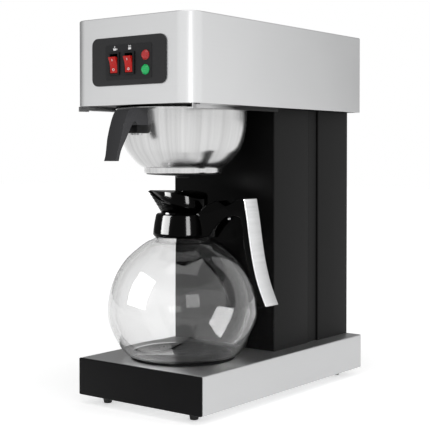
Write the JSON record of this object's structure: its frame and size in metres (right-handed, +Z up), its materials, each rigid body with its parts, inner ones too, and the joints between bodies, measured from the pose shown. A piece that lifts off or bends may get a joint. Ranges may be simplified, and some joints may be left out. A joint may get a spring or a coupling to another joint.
{
  "type": "drip coffee maker",
  "caption": "Pour-over drip coffee maker with a warmer base, a rear column, a head with rocker switches, a slide-in brew basket and a glass decanter.",
  "frame": {"origin": "middle of the whole object's footprint, on the surface the feet stand on", "axes": "+Z up, -Y toward the front with the control panel, +X toward the decanter handle; the brew axis lies 18 mm to the left of the origin plane"},
  "size_m": [0.214, 0.388, 0.4399],
  "materials": {
    "brushed_steel": "brushed",
    "plain_steel": "mill",
    "bowl_steel": "spun",
    "strip_steel": "polished",
    "black_gloss_panel": "satin",
    "black_paint": "powder coat",
    "foot_rubber": "matte",
    "warmer_coating": "non-stick",
    "ceramic": "matte",
    "black_plastic": "satin",
    "copper_bulb": "plain",
    "silicone_tube": "smooth",
    "spray_plastic": "matte",
    "panel_black": "satin",
    "white_mark": "printed",
    "rocker_red": "gloss",
    "lamp_red": "gloss",
    "lamp_green": "gloss",
    "clear_glass": "clear",
    "collar_gloss": "gloss"
  },
  "bodies": {
    "machine": {"base_pan": "brushed_steel", "base_front_plate": "black_gloss_panel", "base_bottom_plate": "plain_steel", "feet": "foot_rubber", "warmer_plate": "warmer_coating", "warmer_element": "plain_steel", "warmer_strap": "plain_steel", "warmer_thermostat": "ceramic", "terminal_block": "ceramic", "cord_gland": "black_plastic", "column_front_cover": "black_paint", "column_rear_cover": "black_paint", "column_side_strips": "black_paint", "boiler_cradle": "plain_steel", "boiler_tank": "plain_steel", "boiler_lid": "plain_steel", "boiler_element": "plain_steel", "boiler_thermostat": "copper_bulb", "inlet_tube": "silicone_tube", "outlet_tube": "silicone_tube", "spray_head": "spray_plastic", "head_housing": "brushed_steel", "head_bottom_pan": "black_paint", "basket_rails": "plain_steel", "fill_basin": "plain_steel", "basin_strainer": "plain_steel", "lid_hinge_bracket": "plain_steel", "lid_hinge_pin": "plain_steel", "panel_plate": "panel_black", "panel_inlay": "panel_black", "panel_marks": "white_mark", "switch_bodies": "black_plastic", "lamp_red": "lamp_red", "lamp_green": "lamp_green", "cover_screws": "plain_steel"},
    "brew_basket": {"basket_bowl": "bowl_steel", "basket_base": "black_plastic", "filter_rack": "plain_steel", "basket_bracket": "black_plastic", "basket_handle": "black_plastic", "basket_screws": "plain_steel"},
    "decanter": {"carafe_glass": "clear_glass", "carafe_collar": "collar_gloss", "pouring_lip": "collar_gloss", "carafe_lid": "black_plastic", "carafe_handle": "black_plastic", "handle_strip": "strip_steel", "handle_screw": "plain_steel"},
    "fill_lid": {"fill_lid": "brushed_steel"},
    "rocker_brew": {"rocker_brew": "rocker_red"},
    "rocker_warm": {"rocker_warm": "rocker_red"}
  },
  "joints": [
    {"name": "basket_slide", "type": "slide", "parent": "machine", "child": "brew_basket", "axis": [0, -1, 0], "range_m": [0, 0.2]},
    {"name": "decanter_slide", "type": "slide", "parent": "machine", "child": "decanter", "axis": [0, -1, 0], "range_m": [0, 0.2]},
    {"name": "fill_lid_hinge", "type": "hinge", "parent": "machine", "child": "fill_lid", "pos_m": [-0.018, 0.142, 0.4377], "axis": [1, 0, 0], "range_deg": [-100, 0]},
    {"name": "brew_switch", "type": "hinge", "parent": "machine", "child": "rocker_brew", "pos_m": [-0.036, -0.1625, 0.3836], "axis": [1, 0, 0], "range_deg": [-24, 0]},
    {"name": "warmer_switch", "type": "hinge", "parent": "machine", "child": "rocker_warm", "pos_m": [-0.0142, -0.1625, 0.3836], "axis": [1, 0, 0], "range_deg": [-24, 0]}
  ]
}
